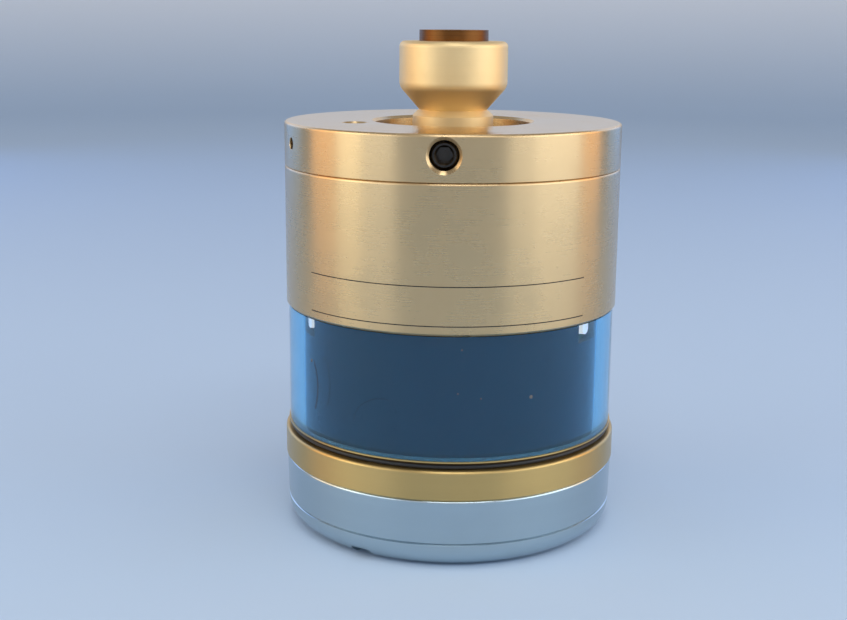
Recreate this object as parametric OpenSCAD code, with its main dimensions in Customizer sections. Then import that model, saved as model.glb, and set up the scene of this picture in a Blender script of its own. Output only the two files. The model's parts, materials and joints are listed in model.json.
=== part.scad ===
// Radio touch probe for machine tools, standing on its front cover.
// The axis is Z, the origin is the centre of the bottom face, and -Y is the front.
// An azimuth is counted from the front, positive towards +X.

/* [Stack of the body] */
// Height of the front cover
cover_h = 12.8; // [12:0.1:15]
// Height of the lower ring's band
ring_h = 5.4; // [4.6:0.1:8]
// Height of the seal land between the ring and the window
land_h = 1.6; // [1.5:0.1:2.4]
// Visible height of the window
window_h = 22.2; // [21:0.1:28]
// Wall between the battery bay and the chassis
bay_floor = 2.05; // [1.8:0.05:4]
// Wall between the battery bay and the top cap
bay_roof = 2.45; // [2:0.05:8]
// Height of the top cap
cap_h = 8; // [7:0.1:12]

/* [Diameters of the body] */
// Diameter of the barrel and the top cap
barrel_d = 62.4; // [61.6:0.2:70]
// How far the window's outside is set back from the barrel's
window_set_back = 0.4; // [0.1:0.05:0.8]
// Wall of the window
window_wall = 2.8; // [2.2:0.1:3]
// How far the lower ring stands out past the barrel
ring_proud = 0.4; // [0.1:0.05:1]
// How far the front cover's upper edge is set back from the ring
cover_set_back = 0.2; // [0.05:0.05:0.5]
// How much the cover tapers in radius down to its groove
cover_taper = 0.2; // [0:0.05:0.6]
// Radius of the rounded lower edge of the cover
cover_round = 4; // [2:0.1:5]
// Radius of the rounded outer edges of the cap, barrel, ring and cover
edge_round = 0.5; // [0.2:0.05:0.8]
// Chamfer on the other turned edges
edge_chamfer = 0.5; // [0.2:0.05:0.8]
// Chamfer on the cap's lower edge, at the seam
seam_chamfer = 0.1; // [0.05:0.05:0.4]
// How far the seal land stands out past the window
land_proud = 0.2; // [0:0.05:0.4]
// Thickness of the land's lip above the seal
land_lip_t = 0.5; // [0.3:0.1:0.7]
// Gap between the seal and the ring's rim
seal_rim_gap = 0.1; // [0.05:0.05:0.2]

/* [Top cap and stud] */
// Diameter of the recess in the cap
recess_d = 29.2; // [27:0.1:34]
// Thickness of the recess floor
recess_floor = 1; // [0.8:0.1:2]
// Width of the step from the cap's side in to its spigot
cap_step = 7.2; // [6:0.1:9]
// Length of the cap's spigot
cap_spigot_h = 3; // [2.6:0.1:3.4]
// Height of the screw axes above the cap's lower face
screw_axis_h = 4.5; // [4:0.1:5]
// Azimuth of the front centring screw
centring_az = -2.5; // [-10:0.5:10]
// Thread diameter of the centring screws
centring_screw_d = 5; // [4:0.5:6]
// Depth of the screws below the cap's side
screw_sunk = 1; // [0.5:0.1:2]
// Chamfer on the outer end of a screw
screw_edge = 0.5; // [0.2:0.05:0.7]
// Azimuth of the pin hole and its lock screw
lock_az = -67; // [-75:0.5:-50]
// Thread diameter of the lock screw
lock_screw_d = 2; // [1.6:0.1:3]
// Distance of the pin hole from the recess
pin_hole_step = 4.6; // [4:0.1:8]
// Diameter of the pin hole
pin_hole_d = 3.2; // [2:0.1:4]
// Depth of the pin hole
pin_hole_depth = 5; // [4.6:0.1:6]
// Depth of the pin hole's countersink
pin_hole_mouth = 0.8; // [0.3:0.1:1.2]
// Diameter of the stud's flange in the recess
stud_flange_d = 26; // [22:0.1:26.6]
// Height of the straight part of the stud's flange
stud_flange_h = 4.4; // [3.6:0.1:4.8]
// Height of the cone on the stud's flange
stud_flange_cone_h = 3.4; // [3:0.1:4]
// Diameter of the stud's collar
stud_collar_d = 15; // [12:0.1:18]
// Height of the collar above the cap
stud_collar_rise = 1.45; // [1:0.05:4]
// Diameter of the stud's neck
stud_neck_d = 12.6; // [11:0.1:14.5]
// Height of the cone under the stud's head
stud_cone_h = 4.2; // [3:0.1:6]
// Diameter of the stud's head
stud_head_d = 20; // [17:0.1:24]
// Height of the straight part of the stud's head
stud_head_h = 8.2; // [6:0.1:14]
// Radius of the rounded upper edge of the head
stud_head_round = 1; // [0.3:0.1:1.5]
// Diameter of the stem above the stud's head
stem_d = 12.7; // [8:0.1:16]
// Height of the stem above the stud's head
stem_rise = 2; // [1:0.1:12]
// Depth of the stem's socket in the stud's head
stem_socket_depth = 6; // [3:0.1:8]

/* [Window and electronics] */
// Length of the window's spigot in the barrel
window_spigot_h = 3; // [2.4:0.1:3.4]
// How far the spigot's outside is set back from the window's outside
window_shoulder = 1.4; // [1:0.1:1.6]
// Gap between the window and the dark sleeve
sleeve_gap = 0.2; // [0.1:0.05:0.5]
// Wall of the dark sleeve
sleeve_wall = 1.2; // [0.8:0.1:1.4]
// Width of the lamp cut-outs in the sleeve
led_cut_w = 5.6; // [4:0.1:8]
// Height of the lamp cut-outs in the sleeve
led_cut_h = 3.9; // [3.4:0.1:6]
// Azimuth of the first lamp
led_az = -62.5; // [-70:0.5:-50]
// Number of lamps
led_count = 3; // [2:1:6]
// Width of a lamp's light guide
led_guide_w = 2; // [1.2:0.1:2.4]
// Thickness of the circuit board
board_t = 1.2; // [0.8:0.1:1.6]
// Width of the circuit board's ring
board_w = 6.4; // [5.6:0.1:7]
// Length of the largest chips
chip_l = 9; // [6:0.5:10]
// Depth of the largest chips
chip_w = 3.6; // [3:0.1:4]
// Height of the largest chips
chip_h = 1.6; // [1:0.1:2]
// Distance from the barrel down to the board's upper face
board_drop = 3.1; // [2.9:0.1:4]
// Height of the foil antenna
antenna_h = 9; // [5:0.5:12]

/* [Chassis] */
// Wall of the chassis tube
chassis_wall = 2.8; // [2:0.1:3]
// Width of the chassis's top flange
chassis_flange_w = 5; // [4.8:0.1:5.6]
// Thickness of the chassis's top flange
chassis_flange_h = 3; // [2.4:0.1:3.2]
// Thickness of the chassis's bottom lip
chassis_lip_h = 1.4; // [1:0.1:2]
// Width of the chassis's bottom lip
chassis_lip_w = 4.2; // [3.4:0.1:4.6]
// Thread diameter of the chassis screws
chassis_screw_d = 3; // [2.5:0.5:3]
// Distance of the chassis screws from the tube
chassis_screw_step = 2.6; // [2.5:0.1:2.8]
// Angle of the chassis screws from the X axis
chassis_screw_angle = 12; // [8:1:18]

/* [Front cover] */
// Thickness of the cover's floor
cover_floor = 3.2; // [2.6:0.1:4]
// Width of the diaphragm's flange that the cover clamps
clamp_w = 6.6; // [6:0.1:7.6]
// Height of the groove round the cover
groove_z = 4.7; // [4.5:0.1:6]
// Width of the groove round the cover
groove_w = 0.4; // [0.2:0.05:0.6]
// Width of the spanner slots
spanner_slot_w = 3.8; // [2:0.1:6]
// Height of the spanner slots
spanner_slot_h = 1.8; // [1:0.1:2.4]
// Azimuth of the first spanner slot
spanner_az = -31; // [-60:1:-15]
// Wall of the cover round the ring's spigot
cover_wall = 3.4; // [2.6:0.1:5]
// Length of the ring's spigot in the cover
ring_spigot_h = 4.8; // [4:0.1:5.4]

/* [Sensing mechanism] */
// Thickness of the diaphragm
diaphragm_t = 0.8; // [0.5:0.1:1]
// Thickness of the diaphragm's clamped flange
diaphragm_flange_t = 1; // [0.8:0.1:1.4]
// Height of the diaphragm's clamp ring
diaphragm_ring_h = 2.6; // [2:0.1:3.4]
// Thickness of the sensor plate
sensor_plate_t = 1.2; // [0.8:0.1:1.6]
// Height of the seat ring
seat_h = 7.8; // [7.6:0.1:9]
// Gap between the carrier's hub and the seat ring's bore
swing_gap = 2.4; // [2.2:0.1:2.8]
// Radius of the circle of the seats, as a share of the seat ring's own
seat_share = 0.7; // [0.68:0.01:0.72]
// Distance of the hub's side from the circle of the seats
hub_gap = 4.5; // [4.2:0.1:5]
// Diameter of the seat balls
seat_ball_d = 4; // [3.6:0.1:4.2]
// Diameter of the rollers
roller_d = 3; // [2.4:0.1:3.2]
// How far a roller's outer end lies past the circle of the seats
roller_past_seat = 2.6; // [2.2:0.1:2.8]
// Distance of a roller from its balls when it passes between them
seat_clear = 0.4; // [0.3:0.05:0.6]
// Width of a roller's slot beyond the roller's own diameter
slot_clear = 2.2; // [2:0.1:2.6]
// Height of the pivot above the seat ring
pivot_rise = 0.8; // [0.6:0.1:1]
// How far the ball centres lie below the pivot
seat_ball_drop = 0.5; // [0.3:0.1:0.6]
// Diameter of the thrust ball
thrust_ball_d = 6; // [5:0.1:6.4]
// Height of the hub above the pivot
hub_rise = 2; // [1.8:0.1:2.2]
// Depth of the hub below the pivot
hub_drop = 5.4; // [5:0.1:5.6]
// Height above the pivot at which the plunger's nose ends
plunger_nose_rise = 2.2; // [2:0.1:2.4]
// Diameter of the plunger's nose
plunger_nose_d = 4.8; // [4.2:0.1:5]
// Height of the plunger's flange above the pivot
plunger_flange_rise = 5.5; // [5.4:0.1:7]
// Thickness of the plunger's flange
plunger_flange_t = 1.5; // [1:0.1:2]
// Mean diameter of the main spring
spring_d = 10.4; // [9:0.1:13]
// Wire diameter of the main spring
spring_wire_d = 1; // [0.6:0.1:1.2]
// Turns of the main spring
spring_turns = 5; // [3:0.5:6]
// Diameter of the spring retainer
retainer_d = 16; // [14:0.1:20]
// Diameter of the stylus holder
holder_d = 7; // [6:0.1:7.4]
// Height of the stylus holder's end above the bottom face
holder_end = 1.2; // [0.8:0.1:3]
// Radius of the stylus thread's bore
stylus_bore_r = 1.65; // [1.2:0.05:2]
// Depth of the stylus thread's bore
stylus_bore_depth = 8; // [6:0.1:9]

/* [Battery cassette] */
// Diameter of a battery
battery_d = 14.5; // [13:0.1:14.7]
// Length of a battery with its button
battery_l = 50.5; // [44:0.1:51]
// Space between the two batteries
battery_space = 0.3; // [0.2:0.1:0.8]
// How far the batteries stand back from the middle of the barrel
battery_set_back = 0.6; // [0.2:0.1:1]
// Wall of the cassette beside and under the batteries
cassette_wall = 0.35; // [0.3:0.05:0.5]
// How far the cassette's door reaches past the bay at each side
door_lip = 5.85; // [5.2:0.05:6.2]
// How far the cassette's door reaches past the bay above and below
door_edge = 1.15; // [1:0.05:1.3]
// Corner radius of the cassette's door
door_corner_r = 3; // [1:0.1:5]
// Depth of the door's seat behind the middle of the door
door_seat_depth = 10; // [9.8:0.1:11]
// Thickness of the cassette's seal
cassette_seal_t = 0.8; // [0.5:0.1:1]
// Thread diameter of the cassette's screws
cassette_screw_d = 2; // [1.6:0.1:2.2]
// Distance of the cassette's screws from the door's ends
cassette_screw_inset = 2.4; // [2.2:0.1:2.6]

/* [Fits] */
// Radial clearance between parts that are fixed together
fit = 0.05; // [0.02:0.01:0.1]
// Radial clearance of the ball in its sockets
ball_fit = 0.05; // [0.02:0.01:0.1]
// Clearance of the cassette in its bay
bay_clear = 0.15; // [0.1:0.05:0.3]
// Depth of the grooves for sealing rings
gland = 1.2; // [0.9:0.05:1.4]

/* [Hidden] */
$fn = 96;
eps = 0.02;

// Size of the battery bay
battery_r = battery_d / 2;
battery_x = battery_r + battery_space / 2;
tray_w = 2 * (battery_x + battery_r + cassette_wall);
tray_h = battery_d + 2 * cassette_wall;
bay_w = tray_w + 2 * bay_clear;
bay_h = tray_h + 2 * bay_clear;

// Heights of the stack
z_ring = cover_h;
z_land = z_ring + ring_h;
z_window = z_land + land_h;
z_barrel = z_window + window_h;
z_chassis_top = z_barrel + chassis_flange_h;
z_battery = z_chassis_top + bay_floor + bay_h / 2;
z_cap = z_battery + bay_h / 2 + bay_roof + cap_spigot_h;
z_top = z_cap + cap_h;
z_cap_seal = z_cap - cap_spigot_h / 2;
z_ring_spigot = z_ring - ring_spigot_h;
z_cover_seal = z_ring - ring_spigot_h / 2;
z_window_top = z_barrel + window_spigot_h;
z_window_seal = z_barrel + window_spigot_h / 2;

// Radii of the body
barrel_r = barrel_d / 2;
window_r = barrel_r - window_set_back;
window_in_r = window_r - window_wall;
window_spigot_r = window_r - window_shoulder;
ring_r = barrel_r + ring_proud;
cover_r = ring_r - cover_set_back;
land_r = window_r + land_proud;
sleeve_r = window_in_r - sleeve_gap;
sleeve_in_r = sleeve_r - sleeve_wall;
ring_spigot_r = cover_r - cover_wall;
cap_spigot_r = barrel_r - cap_step;
recess_r = recess_d / 2;
land_seal_h = land_h - land_lip_t - seal_rim_gap;

// Top cap, screws and stud
z_recess = z_cap - cap_spigot_h + recess_floor;
z_screws = z_cap + screw_axis_h;
stud_flange_r = stud_flange_d / 2;
z_flange_cone = z_recess + stud_flange_h;
z_flange_top = z_flange_cone + stud_flange_cone_h;
stud_flange_top_r = stud_flange_r - stud_flange_cone_h;
z_collar = z_top + stud_collar_rise;
z_neck = z_collar + (stud_collar_d - stud_neck_d) / 4;
z_head = z_neck + stud_cone_h;
z_head_top = z_head + stud_head_h;
screw_tip_r = 0.3;
// Radius at which the cone points rest on the flange's cone
screw_tip_at = stud_flange_r - (z_screws - screw_tip_r - z_flange_cone) + 2 * fit;
thread_relief = 0.1;
socket_share = 0.6;
socket_mouth_share = 0.68;
socket_depth = 2;
screw_mouth = 0.6;
pin_hole_at = recess_r + pin_hole_step;
pin_hole_r = pin_hole_d / 2;
centring_azimuths = [for (turn = [0:90:270]) centring_az + turn];

// Chassis and board
board_gap = 0.2;
board_out_r = sleeve_in_r - board_gap;
chassis_r = board_out_r - board_w;
chassis_in_r = chassis_r - chassis_wall;
chassis_flange_r = chassis_r + chassis_flange_w;
chassis_lip_r = chassis_in_r - chassis_lip_w;
cavity_gap = 0.6;
cover_cavity_r = chassis_r + cavity_gap;
diaphragm_gap = 0.2;
diaphragm_out_r = cover_cavity_r - diaphragm_gap;
opening_r = cover_cavity_r - clamp_w;
z_chassis = cover_floor + diaphragm_flange_t + diaphragm_ring_h;
z_sensor = z_chassis + chassis_lip_h;
z_seat = z_sensor + sensor_plate_t;
z_seat_top = z_seat + seat_h;
z_board_top = z_barrel - board_drop;
z_board = z_board_top - board_t;
shoulder_w = 1.6;
shoulder_r = chassis_r + shoulder_w;
shoulder_h = 1.4;
chassis_screw_r = chassis_r + chassis_screw_step;
chassis_screw_head_d = chassis_screw_d + 1.4;
chassis_screw_head_h = 2;
chassis_screw_reach = 4.6;
chassis_screw_angles = [for (side = [0, 180], turn = [-1, 1]) side + turn * chassis_screw_angle];

// Sensing mechanism
z_pivot = z_seat_top + pivot_rise;
roller_r = roller_d / 2;
seat_ball_r = seat_ball_d / 2;
seat_pair = roller_r + seat_ball_r + seat_clear;
z_seat_balls = z_pivot - seat_ball_drop;
seat_r = chassis_in_r - fit;
seat_circle_r = seat_r * seat_share;
roller_out_r = seat_circle_r + roller_past_seat;
hub_r = seat_circle_r - hub_gap;
seat_bore_r = hub_r + swing_gap;
sensor_bore_step = 0.6;
sensor_bore_r = seat_bore_r + sensor_bore_step;
slot_w = roller_d + slot_clear;
slot_end_gap = 0.8;
slot_out_r = roller_out_r + slot_end_gap;
slot_floor_h = 1.4;
seat_angles = [0, 120, 240];
thrust_ball_r = thrust_ball_d / 2;
socket_r = thrust_ball_r + ball_fit;
hub_lip = 0.3;
hub_dish_w = 1.7;
hub_dish_r = thrust_ball_r + hub_dish_w;
dish_wall = 0.3;
roller_in_r = hub_dish_r + dish_wall;
z_hub_top = z_pivot + hub_rise;
z_hub = z_pivot - hub_drop;
holder_spigot_r = 2;
holder_spigot_h = 1.6;
holder_r = holder_d / 2;
collar_h = 0.8;
collar_w = 1.6;
collar_r = holder_r + collar_w;
bead_gap = 0.3;
bead_r = collar_r + bead_gap;
nut_h = 1.2;
nut_gap = 1.4;
z_nut = z_hub - nut_gap - nut_h;
z_holder_collar = z_nut - diaphragm_t - collar_h;
z_plunger = z_pivot + plunger_nose_rise;
z_plunger_flange = z_pivot + plunger_flange_rise;
z_spring = z_plunger_flange + plunger_flange_t;
z_retainer = z_barrel;
spring_r = spring_d / 2;
spring_wire_r = spring_wire_d / 2;
spring_seat_w = 0.8;
plunger_flange_r = spring_r + spring_wire_r + spring_seat_w;
guide_gap = 1;
spring_guide_r = spring_r - spring_wire_r - guide_gap;
guide_h = 2;
retainer_r = retainer_d / 2;

// Battery cassette
battery_button_r = 2.75;
battery_button_l = 1.2;
y_battery = battery_set_back - battery_l / 2;
y_battery_end = y_battery + battery_l;
contact_t = 0.4;
y_strap = y_battery_end + fit;
y_door = y_strap + contact_t + fit;
y_contact = y_battery - fit - contact_t;
contact_w = 26;
contact_h = 9;
y_bay = y_contact - fit;
door_w = bay_w + 2 * door_lip;
door_h = bay_h + 2 * door_edge;
cassette_screw_x = door_w / 2 - cassette_screw_inset;
y_door_seat = barrel_r - door_seat_depth - cassette_seal_t;
door_gap = 0.15;
cassette_screw_head_d = cassette_screw_d + 1.4;
cassette_screw_head_h = 1.2;
cassette_screw_reach = 6;
screw_seat_t = 0.8;
y_screw_head = y_door_seat + cassette_seal_t + screw_seat_t;
y_screw_top = y_screw_head + cassette_screw_head_h;
y_screw_tip = y_door_seat - cassette_screw_reach;

// Turn what is drawn towards the front to an azimuth
module at_azimuth(azimuth) {
    rotate([0, 0, azimuth]) children();
}

// Cylinder that points outwards to the front, from one radius to another
module radial_cylinder(from_r, to_r, z, r) {
    translate([0, -from_r, z]) rotate([90, 0, 0]) cylinder(h = to_r - from_r, r = r);
}

// Cylinder along +Y, from one depth to another
module y_cylinder(x, z, from_y, to_y, r) {
    translate([x, to_y, z]) rotate([90, 0, 0]) cylinder(h = to_y - from_y, r = r);
}

// Sealing ring of round section
module o_ring(ring_radius, z, section_r) {
    rotate_extrude() translate([ring_radius, z]) circle(r = section_r, $fn = 24);
}

// Sealing ring in a gland that is cut into a spigot
module spigot_seal(spigot_r, z) {
    o_ring(spigot_r - gland / 2 + fit / 2, z, gland / 2 - fit / 2);
}

// Gland that is cut into a spigot
module spigot_gland(spigot_r, z) {
    tube(spigot_r + 1, spigot_r - gland, z - gland / 2, z + gland / 2);
}

// Tube between two heights
module tube(out_r, in_r, z0, z1) {
    difference() {
        translate([0, 0, z0]) cylinder(h = z1 - z0, r = out_r);
        translate([0, 0, z0 - eps]) cylinder(h = z1 - z0 + 2 * eps, r = in_r);
    }
}

// Rectangle with round corners, centred
module rounded_rect(w, h, r) {
    square([w - 2 * r, h], center = true);
    square([w, h - 2 * r], center = true);
    for (x = [-1, 1], y = [-1, 1]) translate([x * (w / 2 - r), y * (h / 2 - r)]) circle(r = r, $fn = 32);
}

// Plate of rounded outline that stands across Y, from one depth to another
module y_plate(w, h, r, z, from_y, to_y) {
    translate([0, to_y, z]) rotate([90, 0, 0]) linear_extrude(to_y - from_y) rounded_rect(w, h, r);
}

// Points of an arc round a centre, between two angles
function arc(centre, r, from, to, steps = 6) =
    [for (i = [0:steps]) let (a = from + (to - from) * i / steps) centre + r * [cos(a), sin(a)]];

// Points of a rounded upper edge of a turned piece
function upper_edge(r, z) = arc([r - edge_round, z - edge_round], edge_round, 0, 90);

// Set screw with a hexagon socket and a cone point, along the front, with its tip at a radius
module set_screw(d, tip_at) {
    head_at = barrel_r - screw_sunk;
    cone_h = d / 2 - screw_tip_r;
    screw_l = head_at - tip_at;
    chamfer = min(screw_edge, d * (1 - socket_share) / 4);
    socket_r = d * socket_share / 2;
    socket_flat_r = socket_r * cos(30);
    mouth_r = d * socket_mouth_share / 2;
    translate([0, -head_at, z_screws]) rotate([-90, 0, 0]) difference() {
        rotate_extrude() polygon([
            [0, 0], [d / 2 - chamfer, 0], [d / 2, chamfer], [d / 2, screw_l - cone_h],
            [screw_tip_r, screw_l], [0, screw_l]]);
        translate([0, 0, -eps]) cylinder(h = socket_depth, r = socket_r, $fn = 6);
        translate([0, 0, -eps]) cylinder(h = mouth_r - socket_flat_r, r1 = mouth_r, r2 = socket_flat_r);
    }
}

// Radial hole for a screw, with a countersunk mouth
module screw_hole(d, from_r, mouth) {
    radial_cylinder(from_r, barrel_r + 1, z_screws, d / 2 + fit);
    translate([0, -barrel_r + mouth, z_screws]) rotate([90, 0, 0])
        cylinder(h = 2 * mouth, r1 = d / 2 + fit, r2 = d / 2 + fit + 2 * mouth);
}

module top_cap() {
    color("#c9bda6") difference() {
        rotate_extrude() polygon(concat(
            [[0, z_cap - cap_spigot_h], [cap_spigot_r, z_cap - cap_spigot_h], [cap_spigot_r, z_cap],
             [barrel_r - seam_chamfer, z_cap], [barrel_r, z_cap + seam_chamfer]],
            upper_edge(barrel_r, z_top),
            [[recess_r + edge_chamfer, z_top], [recess_r, z_top - edge_chamfer],
             [recess_r, z_recess], [0, z_recess]]));
        spigot_gland(cap_spigot_r, z_cap_seal);
        for (azimuth = centring_azimuths) at_azimuth(azimuth)
            screw_hole(centring_screw_d, recess_r - 1, screw_mouth);
        at_azimuth(lock_az) {
            screw_hole(lock_screw_d, pin_hole_at, seam_chamfer);
            translate([0, -pin_hole_at, z_top - pin_hole_depth])
                cylinder(h = pin_hole_depth + eps, r = pin_hole_r);
            translate([0, -pin_hole_at, z_top - pin_hole_mouth])
                cylinder(h = 2 * pin_hole_mouth, r1 = pin_hole_r, r2 = pin_hole_r + 2 * pin_hole_mouth);
        }
    }
}

module cap_seal() {
    color("#1c1c1c") spigot_seal(cap_spigot_r, z_cap_seal);
}

module barrel() {
    color("#c4b79d") difference() {
        rotate_extrude() polygon(concat(
            [[0, z_barrel], [barrel_r - edge_chamfer, z_barrel], [barrel_r, z_barrel + edge_chamfer]],
            upper_edge(barrel_r, z_cap), [[0, z_cap]]));
        translate([0, 0, z_cap - cap_spigot_h]) cylinder(h = cap_spigot_h + eps, r = cap_spigot_r + fit);
        translate([0, 0, z_barrel - eps]) cylinder(h = chassis_flange_h + eps, r = chassis_flange_r + fit);
        tube(window_spigot_r + fit, window_in_r - fit, z_barrel - eps, z_window_top);
        tube(window_spigot_r + fit + gland / 2, window_spigot_r,
            z_window_seal - gland / 4, z_window_seal + gland / 4);
        for (angle = chassis_screw_angles) rotate([0, 0, angle])
            translate([chassis_screw_r, 0, z_chassis_top - eps])
                cylinder(h = chassis_screw_reach + thread_relief + eps, r = chassis_screw_d / 2 + fit);
        translate([-bay_w / 2, y_bay, z_battery - bay_h / 2]) cube([bay_w, 2 * barrel_r, bay_h]);
        y_plate(door_w + 2 * door_gap, door_h + 2 * door_gap, door_corner_r + door_gap, z_battery,
            y_door_seat, barrel_r + 1);
        for (side = [-1, 1]) y_cylinder(side * cassette_screw_x, z_battery, y_screw_tip - thread_relief,
            y_door_seat + eps, cassette_screw_d / 2 + fit);
    }
}

module shank_stud() {
    head_r = stud_head_d / 2;
    collar_radius = stud_collar_d / 2;
    neck_r = stud_neck_d / 2;
    cone_blend = 2.4;
    blend_rise = 0.9;
    color("#d8c083") difference() {
        rotate_extrude() polygon(concat(
            [[0, z_recess], [stud_flange_r - edge_chamfer, z_recess],
             [stud_flange_r, z_recess + edge_chamfer], [stud_flange_r, z_flange_cone],
             [stud_flange_top_r, z_flange_top],
             [collar_radius, z_flange_top], [collar_radius, z_collar - edge_chamfer],
             [collar_radius - edge_chamfer, z_collar], [neck_r, z_neck]],
            arc([head_r - cone_blend, z_head + blend_rise], cone_blend, -45, 0),
            arc([head_r - stud_head_round, z_head_top - stud_head_round], stud_head_round, 0, 90),
            [[0, z_head_top]]));
        translate([0, 0, z_head_top - stem_socket_depth])
            cylinder(h = stem_socket_depth + eps, r = stem_d / 2 + fit);
    }
}

module stud_stem() {
    color("#6b4420") rotate_extrude() polygon([
        [0, z_head_top - stem_socket_depth], [stem_d / 2, z_head_top - stem_socket_depth],
        [stem_d / 2, z_head_top + stem_rise], [0, z_head_top + stem_rise]]);
}

module centring_screws() {
    color("#2a2624") for (azimuth = centring_azimuths) at_azimuth(azimuth)
        set_screw(centring_screw_d, screw_tip_at);
}

module lock_screw() {
    color("#2a2624") at_azimuth(lock_az) set_screw(lock_screw_d, pin_hole_at + pin_hole_r + 2 * fit);
}

module window() {
    color("#3f7fb0", 0.5) rotate_extrude() polygon([
        [window_in_r, z_window + fit], [window_r, z_window + fit], [window_r, z_barrel - fit],
        [window_spigot_r, z_barrel - fit],
        [window_spigot_r, z_window_top - fit], [window_in_r, z_window_top - fit]]);
}

module window_upper_seal() {
    color("#1c1c1c") o_ring(window_spigot_r + fit / 2 + gland / 4, z_window_seal, gland / 4 - fit / 2);
}

module window_lower_seal() {
    seal_r = land_seal_h / 2;
    color("#141414") o_ring(land_r - gland + seal_r, z_land + seal_rim_gap + seal_r, seal_r - fit);
}

module core_sleeve() {
    color("#12283e") difference() {
        tube(sleeve_r, sleeve_in_r, z_window, z_barrel);
        for (i = [0:led_count - 1]) at_azimuth(led_az + i * 360 / led_count)
            translate([-led_cut_w / 2, -sleeve_r - sleeve_wall, z_barrel - led_cut_h])
                cube([led_cut_w, 3 * sleeve_wall, 2 * led_cut_h]);
    }
}

module status_leds() {
    body_w = 2.6;
    body_h = 2.2;
    body_depth = 1.6;
    body_out = board_out_r - board_gap / 2;
    body_in = body_out - body_depth;
    guide_sunk = 0.3;
    guide_rise = 0.3;
    guide_r = led_guide_w / 2;
    z_guide = z_board_top + guide_rise + guide_r;
    color("#e9edf0") for (i = [0:led_count - 1]) at_azimuth(led_az + i * 360 / led_count) {
        translate([-body_w / 2, -body_out, z_board_top]) cube([body_w, body_out - body_in, body_h]);
        translate([0, -body_out + eps, z_guide]) rotate([90, 0, 0])
            linear_extrude(sleeve_r - guide_sunk - body_out + eps) {
                circle(r = guide_r);
                translate([-guide_r, 0]) square([led_guide_w, z_barrel - fit - z_guide]);
            }
    }
}

module circuit_board() {
    color("#1d4a2c") tube(board_out_r, chassis_r + fit, z_board, z_board_top);
}

// Chip on the under side of the board
module chip(angle, length, depth, height) {
    chip_circle_r = (shoulder_r + board_out_r) / 2;
    rotate([0, 0, angle]) translate([chip_circle_r, 0, z_board - height / 2])
        cube([depth, length, height], center = true);
}

module circuit_chips() {
    color("#222428") {
        for (angle = [90, 270]) chip(angle, chip_l, chip_w, chip_h);
        for (angle = [50, 130, 230, 310]) chip(angle, chip_l * 0.66, chip_w * 0.9, chip_h * 0.75);
        for (angle = [0, 180]) chip(angle, chip_l / 3, chip_w * 0.45, chip_h / 2);
    }
}

module antenna() {
    foil_t = 0.25;
    foil_r = sleeve_in_r - fit;
    foil_rise = 5;
    z_foil = z_window + foil_rise;
    color("#b87333") rotate([0, 0, 100]) rotate_extrude(angle = 320)
        translate([foil_r - foil_t, z_foil]) square([foil_t, antenna_h]);
}

module lower_ring() {
    neck_r = sleeve_in_r - fit;
    neck_h = 3;
    z_lip = z_land + seal_rim_gap + land_seal_h;
    color("#b9a468") difference() {
        rotate_extrude() polygon(concat(
            [[chassis_r + fit, z_ring_spigot], [ring_spigot_r, z_ring_spigot], [ring_spigot_r, z_ring],
             [ring_r - edge_chamfer / 2, z_ring], [ring_r, z_ring + edge_chamfer / 2]],
            upper_edge(ring_r, z_land),
            [[land_r - gland, z_land], [land_r - gland, z_lip], [land_r, z_lip], [land_r, z_window],
             [neck_r, z_window], [neck_r, z_window + neck_h], [chassis_r + fit, z_window + neck_h]]));
        spigot_gland(ring_spigot_r, z_cover_seal);
    }
}

module front_cover() {
    cover_low_r = cover_r - cover_taper;
    groove_depth = 0.3;
    spanner_cut = 1;
    color("#9fb2c1") difference() {
        rotate_extrude() polygon(concat(
            [[opening_r, edge_chamfer], [opening_r + edge_chamfer, 0]],
            arc([cover_low_r - cover_round, cover_round], cover_round, -90, 0, 10),
            [[cover_low_r, groove_z - groove_w / 2], [cover_low_r - groove_depth, groove_z],
             [cover_low_r, groove_z + groove_w / 2]],
            upper_edge(cover_r, z_ring),
            [[ring_spigot_r + fit, z_ring], [ring_spigot_r + fit, z_ring_spigot],
             [cover_cavity_r, z_ring_spigot], [cover_cavity_r, cover_floor], [opening_r, cover_floor]]));
        for (azimuth = [spanner_az, spanner_az + 180]) at_azimuth(azimuth)
            translate([-spanner_slot_w / 2, -cover_r - cover_round, -eps])
                cube([spanner_slot_w, 2 * cover_round + spanner_cut, spanner_slot_h + eps]);
    }
}

module front_cover_seal() {
    color("#1c1c1c") spigot_seal(ring_spigot_r, z_cover_seal);
}

// Height of the diaphragm's middle at a radius: it climbs inwards in two soft waves
function diaphragm_z(r) =
    let (share = min(1, (opening_r - r) / (opening_r - bead_r)))
    let (low = cover_floor + diaphragm_flange_t / 2)
    let (high = z_nut - diaphragm_t / 2)
    low + (high - low) * (share - sin(720 * share) / 14);

module diaphragm() {
    steps = 24;
    in_r = holder_r + fit;
    out_r = diaphragm_out_r;
    bend_r = opening_r;
    radii = [for (i = [0:steps]) in_r + (bend_r - in_r) * i / steps];
    color("#23262a") rotate_extrude() polygon(concat(
        [for (r = radii) [r, diaphragm_z(r) - diaphragm_t / 2]],
        [[bend_r, cover_floor], [out_r, cover_floor], [out_r, cover_floor + diaphragm_flange_t],
         [bend_r, cover_floor + diaphragm_flange_t]],
        [for (i = [steps:-1:0]) [radii[i], diaphragm_z(radii[i]) + diaphragm_t / 2]]));
}

module diaphragm_ring() {
    bend_room = 1;
    z0 = cover_floor + diaphragm_flange_t;
    color("#a9adb0") tube(diaphragm_out_r, opening_r + bend_room, z0, z0 + diaphragm_ring_h);
}

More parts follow.
